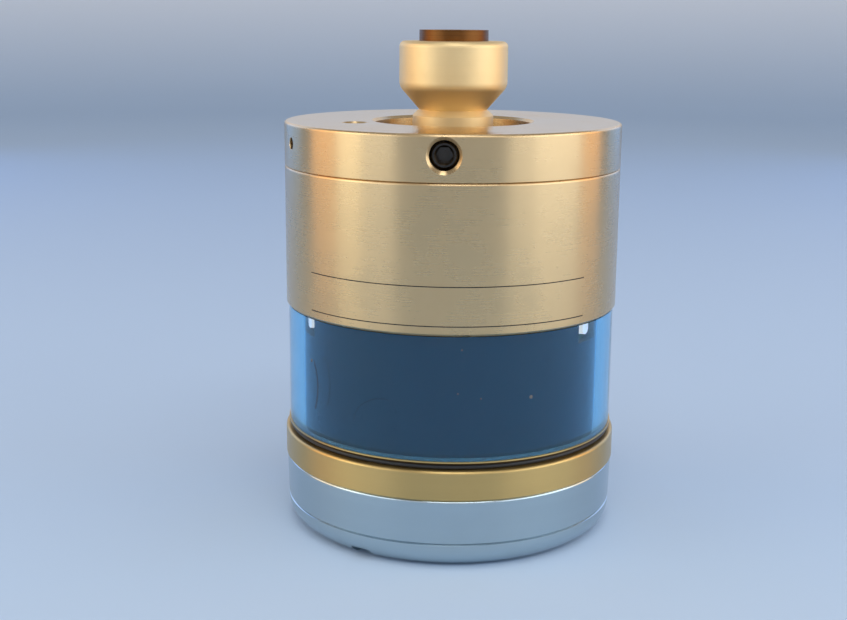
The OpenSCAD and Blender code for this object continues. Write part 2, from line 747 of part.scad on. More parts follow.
module sensor_plate() {
    web_angle = 24;
    web_gap = 0.6;
    web_slot_w = 1.4;
    color("#c2c5c8") difference() {
        tube(seat_r, sensor_bore_r, z_sensor, z_seat);
        for (angle = [45, 135, 225, 315]) rotate([0, 0, angle - web_angle / 2])
            rotate_extrude(angle = web_angle) translate([chassis_lip_r + web_gap, z_sensor - eps])
                square([web_slot_w, sensor_plate_t + 2 * eps]);
    }
}

module strain_gauges() {
    pad_gap = 0.45;
    pad = [chassis_lip_r - sensor_bore_r - 2 * pad_gap, 2.8, 0.2];
    color("#d9a441") for (angle = [45, 135, 225, 315]) rotate([0, 0, angle])
        translate([(sensor_bore_r + chassis_lip_r) / 2, 0, z_sensor - pad[2] / 2])
            cube(pad, center = true);
}

module seat_ring() {
    color("#b3b7ba") difference() {
        tube(seat_r, seat_bore_r, z_seat, z_seat_top);
        for (angle = seat_angles) rotate([0, 0, angle]) {
            translate([0, -slot_w / 2, z_seat + slot_floor_h]) cube([slot_out_r, slot_w, seat_h]);
            for (side = [-1, 1]) translate([seat_circle_r, side * seat_pair, z_seat_balls])
                sphere(r = seat_ball_r + fit);
        }
    }
}

module seat_balls() {
    color("#dfe3e6") for (angle = seat_angles, side = [-1, 1]) rotate([0, 0, angle])
        translate([seat_circle_r, side * seat_pair, z_seat_balls]) sphere(r = seat_ball_r, $fn = 48);
}

module chassis() {
    color("#aeb3b7") difference() {
        rotate_extrude() polygon([
            [chassis_lip_r, z_chassis], [chassis_r, z_chassis], [chassis_r, z_board - shoulder_h],
            [shoulder_r, z_board - shoulder_h], [shoulder_r, z_board], [chassis_r, z_board],
            [chassis_r, z_barrel], [chassis_flange_r, z_barrel], [chassis_flange_r, z_chassis_top],
            [retainer_r + fit, z_chassis_top], [retainer_r + fit, z_barrel], [chassis_in_r, z_barrel],
            [chassis_in_r, z_sensor], [chassis_lip_r, z_sensor]]);
        for (angle = chassis_screw_angles) rotate([0, 0, angle])
            translate([chassis_screw_r, 0, z_barrel - eps])
                cylinder(h = chassis_flange_h + 2 * eps, r = chassis_screw_d / 2 + fit);
    }
}

module chassis_screws() {
    z_head_low = z_barrel - chassis_screw_head_h;
    hex_depth = chassis_screw_head_h * socket_share;
    color("#5c6064") for (angle = chassis_screw_angles) rotate([0, 0, angle])
        translate([chassis_screw_r, 0, 0]) difference() {
            union() {
                translate([0, 0, z_head_low])
                    cylinder(h = chassis_screw_head_h, r = chassis_screw_head_d / 2);
                translate([0, 0, z_barrel - eps])
                    cylinder(h = chassis_flange_h + chassis_screw_reach + eps, r = chassis_screw_d / 2);
            }
            translate([0, 0, z_head_low - eps])
                cylinder(h = hex_depth, r = chassis_screw_d * socket_share * 0.7, $fn = 6);
        }
}

module spring_retainer() {
    slot = 1.6;
    color("#8e9397") difference() {
        rotate_extrude() polygon([
            [0, z_retainer - guide_h], [spring_guide_r - edge_chamfer, z_retainer - guide_h],
            [spring_guide_r, z_retainer - guide_h + edge_chamfer], [spring_guide_r, z_retainer],
            [retainer_r, z_retainer], [retainer_r, z_chassis_top], [0, z_chassis_top]]);
        translate([-retainer_r - 1, -slot / 2, z_chassis_top - slot])
            cube([2 * retainer_r + 2, slot, slot + 1]);
    }
}

// Wire of round section along a helix, closed at both ends
module coil(mean_r, wire_r, z0, z1, turns) {
    per_turn = 16;
    sides = 8;
    rings = ceil(turns * per_turn);
    rise = z1 - z0 - 2 * wire_r;
    points = [for (i = [0:rings], k = [0:sides - 1])
        let (turn = 360 * turns * i / rings, a = 360 * k / sides)
        let (r = mean_r + wire_r * cos(a))
        [r * cos(turn), r * sin(turn), z0 + wire_r + rise * i / rings + wire_r * sin(a)]];
    sides_faces = [for (i = [0:rings - 1], k = [0:sides - 1])
        let (next = (k + 1) % sides)
        [i * sides + k, i * sides + next, (i + 1) * sides + next, (i + 1) * sides + k]];
    first_end = [for (k = [sides - 1:-1:0]) k];
    last_end = [for (k = [0:sides - 1]) rings * sides + k];
    polyhedron(points, concat(sides_faces, [first_end, last_end]));
}

module main_spring() {
    color("#9aa0a6") coil(spring_r, spring_wire_r, z_spring + fit, z_retainer - fit, spring_turns);
}

module battery_contacts() {
    color("#d4b25a") for (side = [-1, 1])
        translate([side * battery_x - contact_w / 4 + 0.5, y_contact, z_battery - contact_h / 2])
            cube([contact_w / 2 - 1, contact_t, contact_h]);
}

module plunger() {
    stem_h = 2.4;
    color("#c9a95c") difference() {
        rotate_extrude() polygon([
            [0, z_plunger], [plunger_nose_d / 2, z_plunger], [plunger_nose_d / 2, z_plunger_flange],
            [plunger_flange_r, z_plunger_flange], [plunger_flange_r, z_spring], [spring_guide_r, z_spring],
            [spring_guide_r, z_spring + stem_h - edge_chamfer],
            [spring_guide_r - edge_chamfer, z_spring + stem_h], [0, z_spring + stem_h]]);
        translate([0, 0, z_pivot]) sphere(r = socket_r);
    }
}

module thrust_ball() {
    color("#dfe3e6") translate([0, 0, z_pivot]) sphere(r = thrust_ball_r, $fn = 64);
}

module stylus_carrier() {
    color("#bcc1c5") difference() {
        rotate_extrude() polygon([
            [0, z_hub], [hub_r - edge_chamfer, z_hub], [hub_r, z_hub + edge_chamfer],
            [hub_r, z_hub_top], [hub_dish_r, z_hub_top],
            [socket_r, z_pivot + hub_lip], [0, z_pivot + hub_lip]]);
        translate([0, 0, z_pivot]) sphere(r = socket_r);
        translate([0, 0, z_hub - eps])
            cylinder(h = holder_spigot_h + thread_relief + eps, r = holder_spigot_r + fit);
        for (angle = seat_angles) at_azimuth(angle + 90)
            radial_cylinder(roller_in_r - fit, hub_r + 1, z_pivot, roller_r + fit);
    }
}

module carrier_rollers() {
    color("#dfe3e6") for (angle = seat_angles) at_azimuth(angle + 90)
        radial_cylinder(roller_in_r, roller_out_r, z_pivot, roller_r);
}

module stylus_holder() {
    color("#aab0b5") difference() {
        rotate_extrude() polygon([
            [0, holder_end], [holder_r - edge_chamfer, holder_end], [holder_r, holder_end + edge_chamfer],
            [holder_r, z_holder_collar], [collar_r, z_holder_collar],
            [collar_r, z_holder_collar + collar_h], [holder_r, z_holder_collar + collar_h],
            [holder_r, z_hub], [holder_spigot_r, z_hub],
            [holder_spigot_r, z_hub + holder_spigot_h], [0, z_hub + holder_spigot_h]]);
        translate([0, 0, holder_end - eps]) cylinder(h = stylus_bore_depth + eps, r = stylus_bore_r);
    }
}

module diaphragm_nut() {
    color("#8e9397") difference() {
        translate([0, 0, z_nut]) cylinder(h = nut_h, r = collar_r, $fn = 6);
        translate([0, 0, z_nut - eps]) cylinder(h = nut_h + 2 * eps, r = holder_r + fit);
    }
}

module battery_cassette() {
    color("#b9ad94") difference() {
        union() {
            translate([-tray_w / 2, y_battery, z_battery - tray_h / 2])
                cube([tray_w, y_door - y_battery + eps, tray_h / 2 + 1]);
            intersection() {
                cylinder(h = z_top, r = barrel_r);
                y_plate(door_w, door_h, door_corner_r, z_battery, y_door_seat + cassette_seal_t, barrel_r);
            }
        }
        for (side = [-1, 1])
            y_cylinder(side * battery_x, z_battery, y_battery - 1, y_door, battery_r + fit);
        translate([-tray_w / 2 + cassette_wall, y_door_seat - 1, z_battery])
            cube([tray_w - 2 * cassette_wall, y_door - y_door_seat + 1, tray_h / 2 - cassette_wall]);
        translate([-contact_w / 2 - fit, y_battery_end, z_battery - contact_h / 2 - fit])
            cube([contact_w + 2 * fit, y_door - y_battery_end, contact_h]);
        for (side = [-1, 1]) {
            y_cylinder(side * cassette_screw_x, z_battery, y_door_seat, barrel_r, cassette_screw_d / 2 + fit);
            y_cylinder(side * cassette_screw_x, z_battery, y_screw_head, barrel_r,
                cassette_screw_head_d / 2 + fit);
        }
    }
}

module batteries() {
    body_l = battery_l - battery_button_l;
    color("#3a5f8a") for (side = [-1, 1]) translate([side * battery_x, 0, 0]) {
        y_body = side > 0 ? y_battery : y_battery + battery_button_l;
        y_button = side > 0 ? y_battery_end - battery_button_l - eps : y_battery;
        y_cylinder(0, z_battery, y_body, y_body + body_l, battery_r);
        y_cylinder(0, z_battery, y_button, y_button + battery_button_l + eps, battery_button_r);
    }
}

module battery_strap() {
    color("#d4b25a") translate([-contact_w / 2, y_strap, z_battery - contact_h / 2])
        cube([contact_w, contact_t, contact_h]);
}

module cassette_seal() {
    seal_w = 1;
    color("#1c1c1c") difference() {
        y_plate(bay_w + 2 * seal_w, bay_h + 2 * seal_w, seal_w, z_battery, y_door_seat,
            y_door_seat + cassette_seal_t);
        translate([-bay_w / 2, y_door_seat - 1, z_battery - bay_h / 2])
            cube([bay_w, cassette_seal_t + 2, bay_h]);
    }
}

module cassette_screws() {
    slot = 0.6;
    color("#6a6e72") for (side = [-1, 1]) difference() {
        union() {
            y_cylinder(side * cassette_screw_x, z_battery, y_screw_tip, y_screw_top, cassette_screw_d / 2);
            y_cylinder(side * cassette_screw_x, z_battery, y_screw_head, y_screw_top,
                cassette_screw_head_d / 2);
        }
        translate([side * cassette_screw_x - cassette_screw_head_d, y_screw_top - slot, z_battery - slot / 2])
            cube([2 * cassette_screw_head_d, slot + 1, slot]);
    }
}

top_cap();
cap_seal();
barrel();
shank_stud();
stud_stem();
centring_screws();
lock_screw();
window();
window_upper_seal();
window_lower_seal();
core_sleeve();
status_leds();
circuit_board();
circuit_chips();
antenna();
lower_ring();
front_cover();
front_cover_seal();
diaphragm();
diaphragm_ring();
sensor_plate();
strain_gauges();
seat_ring();
seat_balls();
chassis();
chassis_screws();
spring_retainer();
main_spring();
battery_contacts();
plunger();
thrust_ball();
stylus_carrier();
carrier_rollers();
stylus_holder();
diaphragm_nut();
battery_cassette();
batteries();
battery_strap();
cassette_seal();
cassette_screws();
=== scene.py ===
import json
import math

import bmesh
import bpy
from mathutils import Matrix, Vector


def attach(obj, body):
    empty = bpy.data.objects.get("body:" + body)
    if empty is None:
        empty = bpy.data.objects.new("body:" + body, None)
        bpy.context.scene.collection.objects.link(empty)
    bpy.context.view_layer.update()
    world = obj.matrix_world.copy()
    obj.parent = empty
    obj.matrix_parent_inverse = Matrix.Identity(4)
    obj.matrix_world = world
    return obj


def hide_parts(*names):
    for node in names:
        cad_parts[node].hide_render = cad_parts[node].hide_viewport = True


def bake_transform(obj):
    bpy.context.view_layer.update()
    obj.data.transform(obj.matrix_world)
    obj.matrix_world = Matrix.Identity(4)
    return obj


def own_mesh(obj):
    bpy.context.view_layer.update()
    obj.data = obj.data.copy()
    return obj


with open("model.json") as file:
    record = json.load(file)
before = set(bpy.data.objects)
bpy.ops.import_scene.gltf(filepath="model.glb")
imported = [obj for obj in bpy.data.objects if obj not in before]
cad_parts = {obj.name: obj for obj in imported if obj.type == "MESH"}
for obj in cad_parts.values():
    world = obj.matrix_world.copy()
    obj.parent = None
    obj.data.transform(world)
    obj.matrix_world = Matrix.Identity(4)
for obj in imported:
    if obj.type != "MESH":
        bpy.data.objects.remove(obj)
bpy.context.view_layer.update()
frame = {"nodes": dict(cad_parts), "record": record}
nodes = frame["nodes"]
MM = 0.001

# Heights and radii that the new pieces share with the solids, in millimetres
BARREL_R = 31.2
SPRING_R, SPRING_WIRE_R, SPRING_LOW, SPRING_HIGH = 5.2, 0.5, 25.05, 41.95
SPRING_TURNS, STEPS_PER_TURN, WIRE_SIDES = 5, 40, 14
BOOT_IN_R, BOOT_BEAD_R, BOOT_BEND_R, BOOT_OUT_R = 3.55, 5.4, 14.0, 20.4
BOOT_FLOOR, BOOT_FLANGE_T, BOOT_T, BOOT_NUT = 3.2, 1.0, 0.8, 10.0
# Window: outer radius, middle of its wall, and the height below which its ground end face lies
WINDOW_R, WINDOW_MIDDLE_R, WINDOW_FOOT = 30.8, 30.0, 19.87

# The boot's zones from the flange inwards: the body outside and inside of each, and the heights between
# which it bends from one to the other
BOOT_ZONES = [
    ("boot_flange", "housing", "plunger", 6.5, 6.9),
    ("boot_middle", "plunger", "thrust_ball", 6.9, 8.6),
    ("boot_bead", "thrust_ball", "carrier", 8.6, 9.2),
]
BOOT_STEPS = 120

# Thin rules on the barrel: height, half height, depth, height above the surface, and azimuths of their ends
UPPER_RULE_Z, LOWER_RULE_Z = 50.6, 43.8
RULE_HALF, RULE_DEEP, RULE_PROUD = 0.09, 0.06, 0.012
RULE_FROM, RULE_TO = -52, 48

# Scratches in the window, as arcs in its front view: centre, radius, width, limits in X and strength.
# None of them reaches below MARKS_LOW
MARKS_LOW = 25.5
WINDOW_MARKS = [
    (-38.8, 29.7, 15.2, 0.2, -24.3, -23.0, 0.85),
    (-11.3, 24.7, 5.6, 0.14, -16.8, -10.2, 0.5),
]
# Dried specks on the window: azimuth in degrees, height and size
WINDOW_SPECKS = [
    (-53.6, 34.3, 0.3),
    (27.3, 30.7, 0.34),
    (3.8, 39.7, 0.16),
    (2.7, 32.0, 0.14),
    (10.1, 31.1, 0.14),
]
SPECK_FLATNESS = 0.3

# Colours of scratches, of the painted shade in the ring's groove and window seat, and of specks, and the
# roughness of the window's ground end
SCUFF, GROOVE_SHADE, SPECK = (0.10, 0.075, 0.06), (0.05, 0.028, 0.012), (0.17, 0.16, 0.14)
GROUND_ROUGH = 0.6

# Turned grain, as steps per metre across the grooves and round the axis; size of the handling marks
FINE_GROOVES, TOOL_BANDS, MARK_SIZE = (5200, 10), (620, 9), 95


# Camera of the photograph: place in metres, pitch down, roll and yaw in degrees, lens and width in pixels
CAMERA_PLACE = (0, -0.24515, 0.09431)
CAMERA_PITCH, CAMERA_ROLL, CAMERA_YAW = 12.544, 0.473, -1.209
FOCAL_PIXELS, PHOTO_WIDTH, SENSOR_WIDTH = 1307.3, 847, 36


def set_up_camera():
    """Camera that sees the probe as the photograph does."""
    pitch, roll, yaw = (math.radians(a) for a in (CAMERA_PITCH, CAMERA_ROLL, CAMERA_YAW))
    forward = Vector((math.sin(yaw) * math.cos(pitch), math.cos(yaw) * math.cos(pitch), -math.sin(pitch)))
    right = forward.cross(Vector((0, 0, 1))).normalized()
    up = right.cross(forward)
    side = math.cos(roll) * right + math.sin(roll) * up
    top = -math.sin(roll) * right + math.cos(roll) * up
    data = bpy.data.cameras.new("camera")
    data.sensor_width = SENSOR_WIDTH
    data.lens = FOCAL_PIXELS * SENSOR_WIDTH / PHOTO_WIDTH
    data.clip_start, data.clip_end = 0.01, 50
    camera = bpy.data.objects.new("camera", data)
    bpy.context.scene.collection.objects.link(camera)
    turn = Matrix((side, top, -forward)).transposed().to_4x4()
    camera.matrix_world = Matrix.Translation(CAMERA_PLACE) @ turn
    bpy.context.scene.camera = camera


# Materials
class Finish:
    """A material with its surface shader, and short ways to add nodes to it."""

    def __init__(self, name, color, metallic=0.0, roughness=0.5):
        self.material = bpy.data.materials.new(name)
        self.material.use_nodes = True
        self.tree = self.material.node_tree
        self.surface = self.tree.nodes["Principled BSDF"]
        self.put("Base Color", (*color, 1))
        self.put("Metallic", metallic)
        self.put("Roughness", roughness)
        self.place = self.node("ShaderNodeTexCoord").outputs["Object"]

    def put(self, socket, value):
        self.surface.inputs[socket].default_value = value

    def node(self, kind, **settings):
        made = self.tree.nodes.new(kind)
        for name, value in settings.items():
            setattr(made, name, value)
        return made

    def link(self, output, node, socket):
        self.tree.links.new(output, node.inputs[socket])

    def noise(self, place, scale, detail=2.0, roughness=0.5):
        made = self.node("ShaderNodeTexNoise")
        self.link(place, made, "Vector")
        made.inputs["Scale"].default_value = scale
        made.inputs["Detail"].default_value = detail
        made.inputs["Roughness"].default_value = roughness
        return made.outputs["Fac"]

    def spread(self, value, low, high, from_low=0.3, from_high=0.7):
        made = self.node("ShaderNodeMapRange")
        self.link(value, made, "Value")
        limits = {"From Min": from_low, "From Max": from_high, "To Min": low, "To Max": high}
        for name, number in limits.items():
            made.inputs[name].default_value = number
        return made.outputs["Result"]

    def math(self, operation, first, second):
        made = self.node("ShaderNodeMath", operation=operation)
        for i, value in enumerate((first, second)):
            if isinstance(value, (int, float)):
                made.inputs[i].default_value = value
            else:
                self.tree.links.new(value, made.inputs[i])
        return made.outputs["Value"]

    def blend(self, share, first, second):
        """Colour between two colours, by a share from 0 to 1."""
        made = self.node("ShaderNodeMix", data_type="RGBA")
        self.link(share, made, 0)
        for socket, value in ((6, first), (7, second)):
            if isinstance(value, tuple):
                made.inputs[socket].default_value = (*value, 1)
            else:
                self.tree.links.new(value, made.inputs[socket])
        return made.outputs[2]

    def mottle(self, cloud, color, dark, light):
        """Base colour between a darker and a lighter shade, by a cloud."""
        mixed = self.blend(self.spread(cloud, 0.0, 1.0), shade(color, dark), shade(color, light))
        self.link(mixed, self.surface, "Base Color")

    def bump(self, height, strength, distance):
        made = self.node("ShaderNodeBump")
        made.inputs["Strength"].default_value = strength
        made.inputs["Distance"].default_value = distance
        self.link(height, made, "Height")
        self.link(made.outputs["Normal"], self.surface, "Normal")

    def within(self, value, low, high):
        """1 where a value lies between two limits, else 0."""
        above = self.math("GREATER_THAN", value, low)
        return self.math("MULTIPLY", above, self.math("LESS_THAN", value, high))

    def axes(self):
        """X, Y, Z and the distance from the axis, in metres."""
        parts = self.node("ShaderNodeSeparateXYZ")
        self.link(self.place, parts, "Vector")
        x, y, z = (parts.outputs[name] for name in "XYZ")
        squares = self.math("ADD", self.math("MULTIPLY", x, x), self.math("MULTIPLY", y, y))
        return x, y, z, self.math("SQRT", squares, 0.0)

    def ring_place(self, along, around):
        """Coordinates that change fast across turned grooves and slowly round the axis."""
        x, y, z, radius = self.axes()
        joined = self.node("ShaderNodeCombineXYZ")
        self.link(self.math("MULTIPLY", x, around), joined, "X")
        self.link(self.math("MULTIPLY", y, around), joined, "Y")
        self.link(self.math("MULTIPLY", self.math("ADD", radius, z), along), joined, "Z")
        return joined.outputs["Vector"]


def shade(color, share):
    return tuple(min(1.0, c * share) for c in color)


def turned_metal(name, color, roughness, grain=0.02, groove=0.035, brushed=0.6, faced=None,
                 shaded_groove=None):
    """Metal turned on a lathe: fine grooves round the axis, a soft sheen along it, faint handling marks.
    faced is the roughness of its flat faces, where they are finer than the sides. The last argument gives the
    lower and upper height of a groove, and the height and radius of a seat above it, which are darkened as
    painted shade."""
    f = Finish(name, color, 1.0, roughness)
    grooves = f.noise(f.ring_place(*FINE_GROOVES), 1.0, 3.0, 0.6)
    bands = f.noise(f.ring_place(*TOOL_BANDS), 1.0, 2.0)
    marks = f.noise(f.place, MARK_SIZE, 4.0, 0.62)
    tone = f.math("ADD", f.math("MULTIPLY", grooves, 0.6), f.math("MULTIPLY", bands, 0.4))
    share = f.spread(tone, 0.0, 1.0, 0.34, 0.66)
    tinted = f.blend(share, shade(color, 1 - grain), shade(color, 1 + grain))
    stains_and_shade = f.blend(f.spread(marks, 0.0, 0.08, 0.55, 0.75), tinted, shade(color, 0.66))
    # Painted shade: the groove and the seat under the window are darkened
    if shaded_groove is not None:
        groove_low, groove_high, seat_low, seat_r = (MM * size for size in shaded_groove)
        _, _, z, radius = f.axes()
        seat = f.math("MULTIPLY", f.math("GREATER_THAN", z, seat_low), f.math("LESS_THAN", radius, seat_r))
        dark = f.math("MAXIMUM", f.within(z, groove_low, groove_high), seat)
        stains_and_shade = f.blend(dark, stains_and_shade, GROOVE_SHADE)
    f.link(stains_and_shade, f.surface, "Base Color")
    turned_rough = f.spread(grooves, roughness - 0.015, roughness + 0.015)
    worn = f.math("ADD", f.spread(marks, -0.03, 0.04, 0.35, 0.7), turned_rough)
    if faced is not None:
        facing = f.node("ShaderNodeSeparateXYZ")
        f.link(f.node("ShaderNodeNewGeometry").outputs["True Normal"], facing, "Vector")
        flat = f.spread(f.math("ABSOLUTE", facing.outputs["Z"], 0.0), 0.0, roughness - faced, 0.9, 0.97)
        worn = f.math("SUBTRACT", worn, flat)
    f.link(worn, f.surface, "Roughness")
    f.bump(grooves, groove, 0.00003)
    f.put("Anisotropic", brushed)
    f.put("Anisotropic Rotation", 0.25)
    round_axis = f.node("ShaderNodeTangent", direction_type="RADIAL", axis="Z")
    f.link(round_axis.outputs["Tangent"], f.surface, "Tangent")
    return f.material


def plain_metal(name, color, roughness, grain=0.12, size=420):
    """Machined or polished metal without a turned grain."""
    f = Finish(name, color, 1.0, roughness)
    cloud = f.noise(f.place, size, 4.0, 0.6)
    f.mottle(cloud, color, 1 - grain, 1 + grain)
    f.link(f.spread(cloud, max(0.03, roughness - 0.06), roughness + 0.08), f.surface, "Roughness")
    f.bump(f.noise(f.place, 3800, 2.0), 0.08, 0.00002)
    return f.material


def moulded(name, color, roughness, grain=0.18, size=700, bump=0.15):
    """Rubber or plastic with a fine moulded grain."""
    f = Finish(name, color, 0.0, roughness)
    cloud = f.noise(f.place, size, 4.0, 0.6)
    f.mottle(cloud, color, 1 - grain, 1 + grain)
    f.link(f.spread(cloud, max(0.05, roughness - 0.08), roughness + 0.08), f.surface, "Roughness")
    f.bump(f.noise(f.place, 4200, 3.0), bump, 0.00004)
    return f.material


def clear_window(name, color):
    """Clear tinted tube with faint rubbing marks round it, and the scratches on its front."""
    f = Finish(name, color, 0.0, 0.03)
    f.put("Transmission Weight", 1.0)
    f.put("IOR", 1.49)
    rubs = f.noise(f.ring_place(900, 60), 1.0, 4.0, 0.65)
    x, y, z, radius = f.axes()
    ground_end = f.math("MULTIPLY", f.math("LESS_THAN", z, WINDOW_FOOT * MM), GROUND_ROUGH)
    f.link(f.math("ADD", f.spread(rubs, 0.02, 0.10, 0.55, 0.8), ground_end), f.surface, "Roughness")
    outer_wall = f.math("GREATER_THAN", radius, WINDOW_MIDDLE_R * MM)
    outside = f.math("MULTIPLY", outer_wall, f.math("LESS_THAN", y, 0.0))
    flat = f.node("ShaderNodeCombineXYZ")
    f.link(x, flat, "X")
    f.link(z, flat, "Z")
    scuffed = 0.0
    for centre_x, centre_z, arc_r, width, from_x, to_x, strength in WINDOW_MARKS:
        away = f.node("ShaderNodeVectorMath", operation="DISTANCE")
        f.link(flat.outputs["Vector"], away, 0)
        away.inputs[1].default_value = (centre_x * MM, 0, centre_z * MM)
        off = f.math("ABSOLUTE", f.math("SUBTRACT", away.outputs["Value"], arc_r * MM), 0.0)
        mark = f.spread(off, strength, 0.0, width * MM / 2, width * MM)
        mark = f.math("MULTIPLY", mark, f.within(x, from_x * MM, to_x * MM))
        mark = f.math("MULTIPLY", mark, f.math("GREATER_THAN", z, MARKS_LOW * MM))
        scuffed = f.math("MAXIMUM", scuffed, mark)
    f.link(f.blend(f.math("MULTIPLY", scuffed, outside), color, SCUFF), f.surface, "Base Color")
    return f.material


def lit_lens(name, color, glow, strength):
    """Milky light guide of a lamp that is on; its warm glow turns white behind the blue window."""
    f = Finish(name, color, 0.0, 0.3)
    f.put("Emission Color", (*glow, 1))
    f.put("Emission Strength", strength)
    cloud = f.noise(f.place, 900, 3.0)
    f.mottle(cloud, color, 0.94, 1.05)
    return f.material


FINISHES = {
    # Its gold tint is painted warm lamp light on plain stainless steel
    "satin_steel": turned_metal("satin_steel", (0.62, 0.445, 0.24), 0.28, grain=0.006, groove=0.002,
                                faced=0.12),
    "gold_steel": turned_metal("gold_steel", (0.82, 0.62, 0.33), 0.55, brushed=0.2),
    "bronze": turned_metal("bronze", (0.165, 0.068, 0.020), 0.42, grain=0.25),
    "black_steel": plain_metal("black_steel", (0.065, 0.055, 0.046), 0.22),
    "blue_window": clear_window("blue_window", (0.23, 0.66, 1.0)),
    "black_rubber": moulded("black_rubber", (0.018, 0.018, 0.019), 0.5),
    "navy_plastic": moulded("navy_plastic", (0.036, 0.055, 0.052), 0.35, grain=0.08, bump=0.02),
    "led_lens": lit_lens("led_lens", (0.86, 0.87, 0.86), (1.0, 0.36, 0.23), 2.7),
    "board_green": moulded("board_green", (0.03, 0.13, 0.06), 0.45),
    "chip_black": moulded("chip_black", (0.03, 0.03, 0.033), 0.55),
    "copper_foil": plain_metal("copper_foil", (0.72, 0.38, 0.19), 0.3),
    # Its groove and the seat under the window get painted shade
    "ring_gold": turned_metal("ring_gold", (0.56, 0.39, 0.155), 0.36, brushed=0.75,
                              shaded_groove=(18.25, 19.55, 19.2, 30.75)),
    # Its blue tint is a painted reflection of cool surroundings on the same steel as the barrel
    "cover_steel": turned_metal("cover_steel", (0.44, 0.53, 0.575), 0.22),
    "bare_aluminium": turned_metal("bare_aluminium", (0.66, 0.67, 0.68), 0.35),
    "mechanism_steel": turned_metal("mechanism_steel", (0.58, 0.58, 0.58), 0.25),
    "polished_steel": plain_metal("polished_steel", (0.72, 0.73, 0.74), 0.12, grain=0.05),
    "contact_brass": plain_metal("contact_brass", (0.70, 0.53, 0.24), 0.28),
    "battery_blue": moulded("battery_blue", (0.08, 0.15, 0.30), 0.32, bump=0.04),
}

for part in frame["record"]["subparts"]:
    mesh = nodes[part["node"]].data
    mesh.materials.clear()
    mesh.materials.append(FINISHES[part["material_slot"]])


# New pieces
def new_piece(name, shape, body, slot):
    """Merges the mesh's doubles, puts it in the scene and lets it ride on a body, if one is given."""
    bmesh.ops.remove_doubles(shape, verts=shape.verts, dist=1e-7)
    bmesh.ops.recalc_face_normals(shape, faces=shape.faces)
    mesh = bpy.data.meshes.new(name)
    shape.to_mesh(mesh)
    shape.free()
    for face in mesh.polygons:
        face.use_smooth = True
    mesh.set_sharp_from_angle(angle=math.radians(35))
    mesh.materials.append(FINISHES[slot])
    piece = bpy.data.objects.new(name, mesh)
    bpy.context.scene.collection.objects.link(piece)
    if body:
        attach(piece, body)
    return piece


def outline(shape, points, closed=True):
    """Edges through points of (radius, height) in millimetres, drawn in the XZ plane."""
    made = [shape.verts.new((r * MM, 0, z * MM)) for r, z in points]
    pairs = list(zip(made, made[1:])) + ([(made[-1], made[0])] if closed else [])
    return made + [shape.edges.new(pair) for pair in pairs]


def turned(points, steps=96):
    """Closed ring turned from an outline."""
    shape = bmesh.new()
    bmesh.ops.spin(shape, geom=outline(shape, points), cent=(0, 0, 0), axis=(0, 0, 1),
                   angle=2 * math.pi, steps=steps, use_merge=True)
    return shape


def rule_line(name, z, from_azimuth, to_azimuth):
    """Thin dark line etched round the front of the barrel."""
    shape = bmesh.new()
    points = [(BARREL_R - RULE_DEEP, z - RULE_HALF), (BARREL_R + RULE_PROUD, z - RULE_HALF),
              (BARREL_R + RULE_PROUD, z + RULE_HALF), (BARREL_R - RULE_DEEP, z + RULE_HALF)]
    start = outline(shape, points)
    bmesh.ops.rotate(shape, verts=shape.verts, cent=(0, 0, 0),
                     matrix=Matrix.Rotation(math.radians(from_azimuth - 90), 3, "Z"))
    bmesh.ops.spin(shape, geom=start, cent=(0, 0, 0), axis=(0, 0, 1),
                   angle=math.radians(to_azimuth - from_azimuth), steps=52)
    bmesh.ops.holes_fill(shape, edges=shape.edges, sides=4)
    return new_piece(name, shape, "housing", "black_steel")


def dried_specks():
    """Low drops of dried coolant on the window's front."""
    shape = bmesh.new()
    for azimuth, z, size in WINDOW_SPECKS:
        drop = bmesh.ops.create_icosphere(shape, subdivisions=2, radius=size * MM)["verts"]
        bmesh.ops.scale(shape, verts=drop, vec=(1, SPECK_FLATNESS, 1))
        bmesh.ops.translate(shape, verts=drop, vec=(0, -WINDOW_R * MM, z * MM))
        bmesh.ops.rotate(shape, verts=drop, cent=(0, 0, 0),
                         matrix=Matrix.Rotation(math.radians(azimuth), 3, "Z"))
    specks = new_piece("window_specks", shape, "housing", "bronze")
    specks.data.materials[0] = moulded("dried_coolant", SPECK, 0.75)


def coil_spring():
    """Wire of round section wound between the plunger and its retainer."""
    shape = bmesh.new()
    section = bmesh.ops.create_circle(shape, segments=WIRE_SIDES, radius=SPRING_WIRE_R * MM)["verts"]
    bmesh.ops.rotate(shape, verts=section, cent=(0, 0, 0), matrix=Matrix.Rotation(math.pi / 2, 3, "X"))
    bmesh.ops.translate(shape, verts=section, vec=(SPRING_R * MM, 0, (SPRING_LOW + SPRING_WIRE_R) * MM))
    steps = SPRING_TURNS * STEPS_PER_TURN
    rise = (SPRING_HIGH - SPRING_LOW - 2 * SPRING_WIRE_R) * MM / steps
    bmesh.ops.spin(shape, geom=list(shape.verts) + list(shape.edges), cent=(0, 0, 0), axis=(0, 0, 1),
                   dvec=(0, 0, rise), angle=2 * math.pi * SPRING_TURNS, steps=steps)
    bmesh.ops.holes_fill(shape, edges=shape.edges, sides=WIRE_SIDES)
    spring = new_piece("wound_spring", shape, None, "polished_steel")
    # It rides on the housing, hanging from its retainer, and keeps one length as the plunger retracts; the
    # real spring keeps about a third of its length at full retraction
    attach(spring, "housing")
    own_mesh(spring)
    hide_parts("main_spring")


def boot_height(r):
    """Height of the boot's middle at a radius: it climbs inwards in two soft waves."""
    share = min(1.0, (BOOT_BEND_R - r) / (BOOT_BEND_R - BOOT_BEAD_R))
    low, high = BOOT_FLOOR + BOOT_FLANGE_T / 2, BOOT_NUT - BOOT_T / 2
    return low + (high - low) * (share - math.sin(4 * math.pi * share) / 14)


